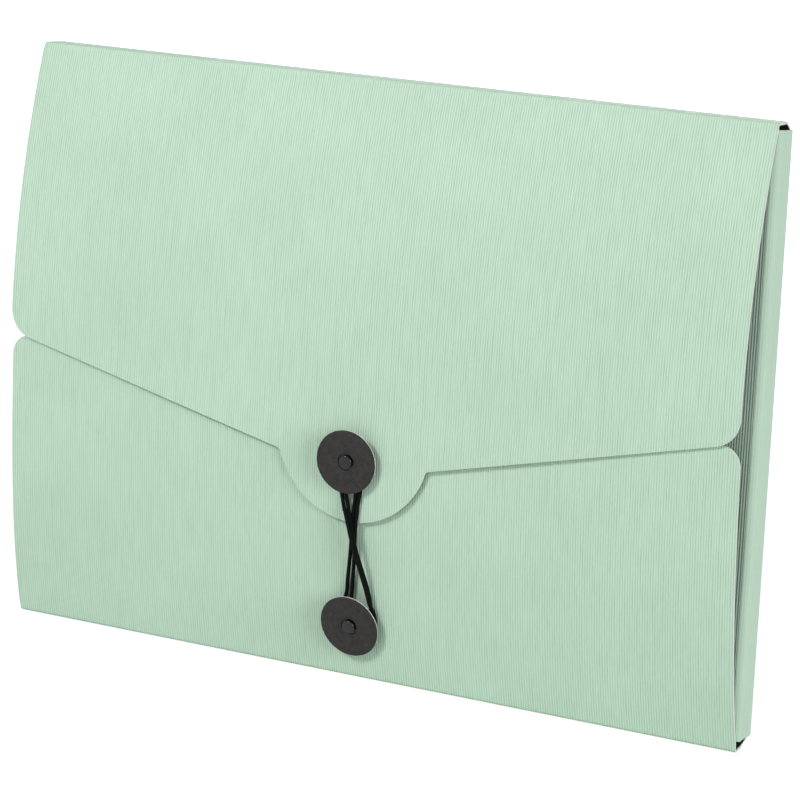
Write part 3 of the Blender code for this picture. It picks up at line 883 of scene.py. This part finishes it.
def flat_sheet(name, corner, along, up, columns, rows, outward, body, folds="", relief=1.0):
    """Flat panel from a corner point, with columns along one direction and rows up another.

    Its inner layers end short of the back folds that it meets along the axes in folds.
    """
    corner, along, up, outward = (np.array(v, float) for v in (corner, along, up, outward))
    face = corner + columns[:, None, None] * along + rows[..., None] * up
    out = np.broadcast_to(outward, face.shape)

    def at(depth):
        points = face - out * depth
        inset = max(sizes().back_fold, depth + FOLD_GAP)
        limits = {
            "x": (-HALF_WIDTH + inset, HALF_WIDTH - inset),
            "y": (-HALF_DEPTH, HALF_DEPTH - inset),
            "z": (inset, HEIGHT - inset),
        }
        for axis in folds:
            points[..., "xyz".index(axis)] = np.clip(points[..., "xyz".index(axis)], *limits[axis])
        return points

    lined_sheet(name, at, out, columns, riding(body), True, relief)


def back_panel():
    """Back, with its corners cut off between the spines."""
    fold = sizes().back_fold
    side = HALF_WIDTH - fold
    wide = rib_columns(-side, side)
    low = np.interp(np.abs(wide), (END_SPINE - BOTTOM_SPINE_TAPER, side), (fold, REAR_FOOT))
    high = np.interp(np.abs(wide), (END_SPINE - TOP_SPINE_TAPER, side), (HEIGHT - fold, REAR_TOP))
    rows = between(low, high, even(PANEL_ROWS))
    flat_sheet("back_panel", (0, HALF_DEPTH, 0), (1, 0, 0), (0, 0, 1), wide, rows, (0, 1, 0), "base", "xz")


def end_spines():
    """Bottom and top spines, which taper towards the back at their ends."""
    size = sizes()
    ends = rib_columns(-END_SPINE, END_SPINE)
    for name, level, facing, body, reach, taper in (
        ("bottom_spine", 0, -1, "base", size.lower_fold, BOTTOM_SPINE_TAPER),
        ("top_spine", HEIGHT, 1, "top_spine", size.upper_fold, TOP_SPINE_TAPER),
    ):
        front = -HALF_DEPTH + reach
        least = front + reach / 8
        slanted = (END_SPINE - np.abs(ends)) / taper * 2 * HALF_DEPTH - HALF_DEPTH
        deep = between(front, np.clip(slanted, least, HALF_DEPTH - size.back_fold), even(END_SPINE_ROWS))
        flat_sheet(name, (0, 0, level), (1, 0, 0), (0, 1, 0), ends, deep, (0, 0, facing), body, "y")


def side_panels():
    """Side spines that taper towards the back, and side flaps with slanted ends and rounded corners."""
    size = sizes()
    across = rib_columns(-HALF_DEPTH + size.side_fold, HALF_DEPTH - size.back_fold)
    share = (across + HALF_DEPTH) / (2 * HALF_DEPTH)
    foot = SPINE_FOOT + SPINE_FOOT_TAPER * share
    head = SPINE_TOP - SPINE_HEAD_TAPER * share
    upright = between(foot, head, even(PANEL_ROWS))
    inward = rib_columns(size.side_fold, SIDE_REACH)
    tip = SIDE_SETBACK + SIDE_TAPER
    outline = rounded(((0, SIDE_SETBACK, 0), (SIDE_REACH, tip, SIDE_CORNER), (SIDE_REACH, HEIGHT / 2, 0)))
    low = np.interp(inward, outline[:-1, 0], outline[:-1, 1])
    rows = between(low, HEIGHT - low, even(SIDE_FLAP_ROWS))
    up = (0, 0, 1)
    for side, sign in SIDES:
        spine, flap = side + "_spine", side + "_side_flap"
        edge = (sign * HALF_WIDTH, 0, 0)
        flat_sheet(spine, edge, (0, 1, 0), up, across, upright, (sign, 0, 0), spine, "y", SPINE_RELIEF)
        start = (sign * HALF_WIDTH, -HALF_DEPTH, 0)
        flat_sheet(flap, start, (-sign, 0, 0), up, inward, rows, (0, -1, 0), flap, "", FLAP_RELIEF_AND_SHADE)


class FOLDER_OT_flat_panels(bpy.types.Operator):
    """Back, spines and side flaps with their linings"""

    bl_idname = "folder.flat_panels"
    bl_label = "Flat panels"

    def execute(self, context):
        back_panel()
        end_spines()
        side_panels()
        return {"FINISHED"}


# Creases


class Fold:
    """Rounded fold in its own plane, between two panels that start at points and face outwards from them."""

    def __init__(self, start, corner, end, start_out, end_out, count, pulls=EVEN_PULL):
        self.ends = [np.array(point, float) for point in (start, corner, end)]
        self.outs = [np.array(out, float) for out in (start_out, end_out)]
        self.pulls = pulls
        self.t = even(count)[:, None]

    def at(self, depth):
        """Points of the section at a depth behind the face, never tighter than the depth allows."""
        start, corner, end = self.ends
        one, two = self.outs
        facing = one @ two
        turn = corner - depth * (one + two) / (1 + facing)
        least = depth * math.sqrt((1 - facing) / (1 + facing)) + FOLD_GAP
        limits = []
        for point, out in ((start, one), (end, two)):
            reach = np.linalg.norm(point - corner)
            limits.append(corner + (point - corner) * max(1.0, least / reach) - out * depth)
        t = self.t
        one, two = (limit + (turn - limit) * pull for limit, pull in zip(limits, self.pulls))
        near = (1 - t) ** 3 * limits[0] + 3 * t * (1 - t) ** 2 * one
        return near + 3 * t**2 * (1 - t) * two + t**3 * limits[1]

    def normals(self):
        start, corner, end = self.ends
        one, two = (limit + (corner - limit) * pull for limit, pull in zip((start, end), self.pulls))
        t = self.t
        tangent = (1 - t) ** 2 * (one - start) + 2 * t * (1 - t) * (two - one) + t**2 * (end - two)
        normal = np.stack([tangent[:, 1], -tangent[:, 0]], -1)
        normal /= np.linalg.norm(normal, axis=1, keepdims=True)
        return normal if normal[0] @ self.outs[0] > 0 else -normal


def long_crease(name, start, corner, end, start_out, end_out, half, bodies):
    """Fold along X between (y, z) points, which rides on the one body given, or stays unfastened where two
    are given.
    """
    across = rib_columns(-half, half)
    fold = Fold(start, corner, end, start_out, end_out, CREASE_POINTS)
    shape = (len(across), CREASE_POINTS)
    wide = np.broadcast_to(across[:, None, None], (*shape, 1))
    out = np.concatenate([np.zeros((*shape, 1)), np.broadcast_to(fold.normals(), (*shape, 2))], -1)

    def at(depth):
        return np.concatenate([wide, np.broadcast_to(fold.at(depth), (*shape, 2))], -1)

    hold = riding(*bodies) if len(bodies) == 1 else bending(*bodies, lambda depth: at(depth)[0])
    lined_sheet(name, at, out, across, hold, False)


def upright_crease(name, sign, corner_y, way, reach, bodies):
    """Fold along Z at a side, from the back round to the spine (way 1) or from the spine to the flap (-1).

    Its ends keep level with the spine's. Those at the flap then turn in to the flap's setback.
    """
    corner = (sign * HALF_WIDTH, corner_y)
    on_spine = (sign * HALF_WIDTH, corner_y - way * reach)
    on_face = (sign * (HALF_WIDTH - reach), corner_y)
    length = FOLD_LENGTH * reach
    count = max(LEAST_FOLD_POINTS, round(length / sizes().rib_pitch * RIB_CUTS))
    if way == 1:
        fold = Fold(on_face, corner, on_spine, (0, way), (sign, 0), count)
        rows = np.broadcast_to((REAR_FOOT, REAR_TOP), (count, 2))
    else:
        fold = Fold(on_spine, corner, on_face, (sign, 0), (0, way), count, FLAT_PULL)
        turn = even(count) ** FOLD_END_TURN
        low = SPINE_FOOT + (SIDE_SETBACK - SPINE_FOOT) * turn
        high = SPINE_TOP + (HEIGHT - SIDE_SETBACK - SPINE_TOP) * turn
        rows = np.stack([low, high], -1)
    shape = (*rows.shape, 2)
    flat = np.broadcast_to(fold.normals()[:, None, :], shape)
    out = np.concatenate([flat, np.zeros((*rows.shape, 1))], -1)

    def at(depth):
        return np.concatenate([np.broadcast_to(fold.at(depth)[:, None, :], shape), rows[..., None]], -1)

    def middle(depth):
        return [(*point, HEIGHT / 2) for point in fold.at(depth)]

    across = np.linspace(0, length, count)
    lined_sheet(name, at, out, across, bending(*bodies, middle), False, SPINE_RELIEF, 1)


class FOLDER_OT_creases(bpy.types.Operator):
    """Rounded folds between the panels"""

    bl_idname = "folder.creases"
    bl_label = "Creases"

    def execute(self, context):
        size = sizes()
        high, low, reach = size.upper_fold, size.lower_fold, size.back_fold
        front, back = -HALF_DEPTH, HALF_DEPTH
        upper_end, upper_out = (v.tolist() for v in UPPER_SHAPE.face(high))
        lower_end, lower_out = (v.tolist() for v in LOWER_SHAPE.face(low))
        up, down, behind = (0, 1), (0, -1), (1, 0)
        folds = (
            ("back_top_crease", (back, HEIGHT - reach), (back, HEIGHT), (back - reach, HEIGHT), behind, up),
            ("upper_crease", (front + high, HEIGHT), (front, HEIGHT), upper_end, up, upper_out),
            ("back_bottom_crease", (back, reach), (back, 0), (back - reach, 0), behind, down),
            ("lower_crease", (front + low, 0), (front, 0), lower_end, down, lower_out),
        )
        bodies = (("base", "top_spine"), ("top_spine", "upper_flap"), ("base",), ("base", "lower_flap"))
        for fold, taper, pair in zip(folds, (TOP_SPINE_TAPER, 0.0, BOTTOM_SPINE_TAPER, 0.0), bodies):
            long_crease(*fold, END_SPINE - taper, pair)
        for side, sign in SIDES:
            spine, flap = side + "_spine", side + "_side_flap"
            upright_crease(side + "_back_crease", sign, back, 1, reach, ("base", spine))
            upright_crease(side + "_front_crease", sign, front, -1, size.side_fold, (spine, flap))
        return {"FINISHED"}


# Buttons and rivets


def band(finish, *points):
    """Profile points (radius, height) that one finish covers, up to the next band's first point."""
    return [(radius, height, finish) for radius, height in points]


def turned(name, profile, axis, seat, body, steps=96):
    """Round piece about an axis through a seat, from (radius, height, finish) points.

    A profile that starts away from the axis closes on itself.
    """
    place = Matrix.Translation(seat) @ Vector(axis).to_track_quat("Z", "Y").to_matrix().to_4x4()
    bm = bmesh.new()

    def ring(radius, height):
        if radius == 0:
            return [bm.verts.new(place @ Vector((0, 0, height)))]
        angles = [2 * math.pi * step / steps for step in range(steps)]
        spots = [Vector((radius * math.cos(a), radius * math.sin(a), height)) for a in angles]
        return [bm.verts.new(place @ spot) for spot in spots]

    rings = [ring(radius, height) for radius, height, _ in profile]
    finishes = []
    closed = profile[0][0] > 0
    for index in range(len(rings) if closed else len(rings) - 1):
        one, two = rings[index], rings[(index + 1) % len(rings)]
        finish = profile[index][2]
        if finish not in finishes:
            finishes.append(finish)
        for step in range(steps):
            after = (step + 1) % steps
            loop = [one[step % len(one)], one[after % len(one)], two[after % len(two)], two[step % len(two)]]
            made = bm.faces.new(list(dict.fromkeys(loop)))
            made.material_index = finishes.index(finish)
            made.smooth = True
    bmesh.ops.recalc_face_normals(bm, faces=bm.faces)
    mesh = bpy.data.meshes.new(name + "_look")
    bm.to_mesh(mesh)
    bm.free()
    for finish in finishes:
        mesh.materials.append(look(finish))
    piece = placed(name + "_look", mesh)
    smooth(piece, TURNED_SHARP)
    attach(piece, body)
    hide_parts(name)


BUTTONS = (
    ("upper", UPPER_SEAT, UPPER_SHAPE, "upper_button_spin"),
    ("lower", LOWER_SEAT, LOWER_SHAPE, "lower_button_spin"),
)


class FOLDER_OT_buttons(bpy.types.Operator):
    """Punched card buttons, dished where their rivets draw them in"""

    bl_idname = "folder.buttons"
    bl_label = "Buttons"

    def execute(self, context):
        size = sizes()
        radius, low, ply = size.button_radius, size.button_lift, BUTTON_PLY
        high = low + size.button_thick
        profile = band("button", (BORE, low), (radius - ply, low))
        profile += band("core", (radius, low + ply))
        profile += band("button", (radius, high - ply), (radius - ply / 3, high - ply / 3))
        profile += band("button", (radius - BUTTON_ROUND, high))
        for share in even(DISH_POINTS):
            across = DISH_OUTER - (DISH_OUTER - DISH_INNER) * share
            profile += band("button", (across, high - DISH_DEPTH * eased(share)))
        # Painted shade: the socket round the rivet head takes the darker rivet lacquer instead of the
        # button's card
        profile += band("rivet", (SOCKET_RIM, high - DISH_DEPTH - SOCKET_CHAMFER))
        profile += band("rivet", (SOCKET_RADIUS, high - SOCKET_DEPTH))
        profile += band("core", (BORE, high - SOCKET_DEPTH))
        for name, seat, _, spin in BUTTONS:
            turned(name + "_button", profile, SPIN[spin]["axis"], seat, name + "_button", 128)
        return {"FINISHED"}


class FOLDER_OT_rivets(bpy.types.Operator):
    """Rivets with low, round-edged heads, their spacers and their inner caps"""

    bl_idname = "folder.rivets"
    bl_label = "Rivets"

    def rivet(self):
        size = sizes()
        foot = size.button_lift + size.button_thick - HEAD_SUNK
        end = -(LINED + SEAT_GAP + SHANK_PAST_SEAT)
        rim = size.head_radius
        flat, wall = rim - HEAD_ROUND, foot + HEAD_WALL
        points = [(0.0, end), (SHANK, end), (SHANK, foot)]
        points += [(rim * HEAD_FOOT, foot), (rim, foot + HEAD_CHAMFER)]
        for angle in np.linspace(0, math.pi / 2, HEAD_POINTS):
            points.append((flat + HEAD_ROUND * math.cos(angle), wall + HEAD_ROUND * math.sin(angle)))
        for share in CROWN_SHARES:
            points.append((flat * share, wall + HEAD_ROUND + HEAD_CROWN * (1 - share * share)))
        return band("rivet", *points)

    def spacer(self):
        low, high = SPACER_FOOT, sizes().button_lift - SEAT_GAP
        wide, narrow = SPACER_RADIUS, SPACER_RADIUS - SPACER_CHAMFER
        points = [(BORE, low), (narrow, low), (wide, low + SPACER_CHAMFER)]
        points += [(wide, high - SPACER_CHAMFER), (narrow, high), (BORE, high)]
        return band("spacer", *points)

    def cap(self):
        top = -(LINED + SEAT_GAP)
        points = [(CAP_RADIUS * out, top - CAP_THICK * down) for out, down in CAP_EDGE]
        points += [(CAP_SOCKET, top), (CAP_SOCKET, top - CAP_SOCKET_DEPTH), (0.0, top - CAP_SOCKET_DEPTH)]
        return band("rivet", *points)

    def execute(self, context):
        for name, seat, shape, spin in BUTTONS:
            lean = SPIN[spin]["axis"]
            normal = shape.face_at(seat.z)[1]
            body = name + "_flap"
            turned(name + "_rivet", self.rivet(), lean, seat, body)
            turned(name + "_spacer", self.spacer(), lean, seat, body, 64)
            turned(name + "_rivet_cap", self.cap(), (0, *normal), seat, body, 64)
        return {"FINISHED"}


# Elastic


def cord_bed(z):
    """Y of the face that the elastic lies on: the tab, then straight from its tip to the lower rivet."""
    if z >= TAB_TIP:
        return UPPER_SHAPE.y_at(z)
    low = LOWER_SHAPE.y_at(LOWER)
    straight = low + (z - LOWER) / (TAB_TIP - LOWER) * (UPPER_SHAPE.y_at(TAB_TIP) - low)
    return min(LOWER_SHAPE.y_at(z), straight)


def smooth_through(points, steps):
    """Points of a smooth curve through the given ones."""
    path = []
    for index in range(len(points) - 1):
        before, start = points[max(index - 1, 0)], points[index]
        end, after = points[index + 1], points[min(index + 2, len(points) - 1)]
        for step in range(steps):
            t = step / steps
            bend = (2 * before - 5 * start + 4 * end - after) * t**2
            twist = (3 * start - before - 3 * end + after) * t**3
            path.append(0.5 * (2 * start + (end - before) * t + bend + twist))
    path.append(points[-1])
    return path


class FOLDER_OT_elastic(bpy.types.Operator):
    """Doubled elastic wound in a figure of eight, and the sleeve that joins its ends"""

    bl_idname = "folder.elastic"
    bl_label = "Elastic"

    def execute(self, context):
        size = sizes()
        route = []
        for rivet, *points in ROUTE:
            for across, above, lift in np.array(points) / TENTHS_IN_METRE:
                z = rivet + above
                route.append(Vector((across, cord_bed(z) - lift, z)))
        path = smooth_through(route, CORD_STEPS)
        curve = bpy.data.curves.new("elastic_cord_look", "CURVE")
        curve.dimensions = "3D"
        spline = curve.splines.new("POLY")
        spline.points.add(len(path) - 1)
        for point, place in zip(spline.points, path):
            point.co = (*place, 1.0)
        source = placed("elastic_cord_look", curve)
        values = {"Diameter": size.cord, "Sides": size.cord_sides, "Cover": look("elastic")}
        cord = grown(source, cord_tree(), values)
        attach(cord, "upper_flap")
        sleeve = (route[0] + route[-1]) / 2
        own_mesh(cord)
        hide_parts("elastic_cord")
        inner = size.cord / 2 + SLEEVE_EASE
        outer = inner + SLEEVE_WALL
        half = [(inner, SLEEVE_HALF), (outer - SLEEVE_ROUND, SLEEVE_HALF)]
        half += [(outer, SLEEVE_HALF - 2 * SLEEVE_ROUND), (outer * CRIMP_RADIUS, SLEEVE_HALF * CRIMP_HALF)]
        tube = band("sleeve", *((radius, -height) for radius, height in half), *half[::-1])
        turned("elastic_sleeve", tube, (1, 0, 0), sleeve, "upper_flap", 48)
        return {"FINISHED"}


# Stage


def seen_directly(tree):
    """Socket that is 1 for the camera and for what mirrors or glass show."""
    path = add_node(tree, "ShaderNodeLightPath").outputs
    seen = calc(tree, "MAXIMUM", path["Is Camera Ray"], path["Is Glossy Ray"])
    return calc(tree, "MAXIMUM", seen, path["Is Transmission Ray"])


def pale_floor():
    """Wide matt floor, lifted to white where it is seen, which keeps the folder's shadow."""
    mesh = bpy.data.meshes.new("floor")
    corners = ((-1, -1), (1, -1), (1, 1), (-1, 1))
    mesh.from_pydata([(x * FLOOR_HALF, y * FLOOR_HALF, 0) for x, y in corners], [], [(0, 1, 2, 3)])
    floor = placed("floor", mesh)
    floor.location.z = -FLOOR_DROP
    pale = bpy.data.materials.new("pale floor")
    pale.use_nodes = True
    tree = pale.node_tree
    tree.nodes.remove(tree.nodes["Principled BSDF"])
    matt = add_node(tree, "ShaderNodeBsdfDiffuse", {"Color": FLOOR_GREY})
    place = add_node(tree, "ShaderNodeTexCoord").outputs["Object"]
    away = add_node(tree, "ShaderNodeVectorMath", {0: place}, operation="LENGTH").outputs["Value"]
    fade = add_node(tree, "ShaderNodeMapRange", {"Value": away, **FLOOR_GLOW}).outputs[0]
    lift = calc(tree, "MULTIPLY", seen_directly(tree), fade)
    glow = add_node(tree, "ShaderNodeEmission", {"Strength": lift})
    both = add_node(tree, "ShaderNodeAddShader", {0: matt.outputs[0], 1: glow.outputs[0]})
    tree.links.new(both.outputs[0], tree.nodes["Material Output"].inputs["Surface"])
    mesh.materials.append(pale)


def studio_light(scene):
    """White surroundings that light the folder less than they show, and soft lamps aimed at its middle."""
    world = bpy.data.worlds.new("studio")
    scene.world = world
    world.use_nodes = True
    sky = world.node_tree
    background = sky.nodes["Background"].inputs
    background["Color"].default_value = WHITE
    sky.links.new(spread(sky, seen_directly(sky), WORLD_FILL, 1.0), background["Strength"])
    for name, place, size, power in LAMPS:
        data = bpy.data.lights.new(name, "AREA")
        data.shape = "DISK"
        data.size = size
        data.energy = power
        lamp = placed(name, data)
        lamp.location = place
        aim = Vector((0.0, 0.0, HEIGHT / 2)) - Vector(place)
        lamp.rotation_euler = aim.to_track_quat("-Z", "Y").to_euler()


def photo_camera(scene):
    data = bpy.data.cameras.new("photo camera")
    data.lens = LENS
    data.sensor_width = SENSOR
    data.clip_start, data.clip_end = CLIP
    camera = placed("photo camera", data)
    turn = Matrix((CAMERA_RIGHT, -CAMERA_DOWN, -CAMERA_AHEAD)).transposed()
    camera.matrix_world = Matrix.Translation(CAMERA_PLACE) @ turn.to_4x4()
    scene.camera = camera


class FOLDER_OT_stage(bpy.types.Operator):
    """Pale floor, soft light and the camera"""

    bl_idname = "folder.stage"
    bl_label = "Stage"

    def execute(self, context):
        context.scene.view_settings.view_transform = "Standard"
        pale_floor()
        studio_light(context.scene)
        photo_camera(context.scene)
        return {"FINISHED"}


PIECES = (
    FOLDER_OT_front_flaps,
    FOLDER_OT_flat_panels,
    FOLDER_OT_creases,
    FOLDER_OT_buttons,
    FOLDER_OT_rivets,
    FOLDER_OT_elastic,
    FOLDER_OT_stage,
)


class FOLDER_PT_pieces(bpy.types.Panel):
    """Sidebar panel that lists the folder's pieces, sizes and colours"""

    bl_idname = "FOLDER_PT_pieces"
    bl_label = "Elastic Closure Folder"
    bl_space_type = "VIEW_3D"
    bl_region_type = "UI"
    bl_category = "Folder"

    def draw(self, context):
        for piece in PIECES:
            self.layout.operator(piece.bl_idname)
        for group in (context.scene.folder_sizes, context.scene.folder_colours):
            box = self.layout.box()
            for key in group.__annotations__:
                box.prop(group, key)


CLASSES = (FolderSizes, FolderColours, *PIECES, FOLDER_PT_pieces)


def register():
    for item in CLASSES:
        bpy.utils.register_class(item)
    bpy.types.Scene.folder_sizes = PointerProperty(type=FolderSizes)
    bpy.types.Scene.folder_colours = PointerProperty(type=FolderColours)


def unregister():
    del bpy.types.Scene.folder_colours
    del bpy.types.Scene.folder_sizes
    for item in reversed(CLASSES):
        bpy.utils.unregister_class(item)


def main():
    register()
    for piece in PIECES:
        group, action = piece.bl_idname.split(".")
        getattr(getattr(bpy.ops, group), action)()


if __name__ == "__main__":
    main()
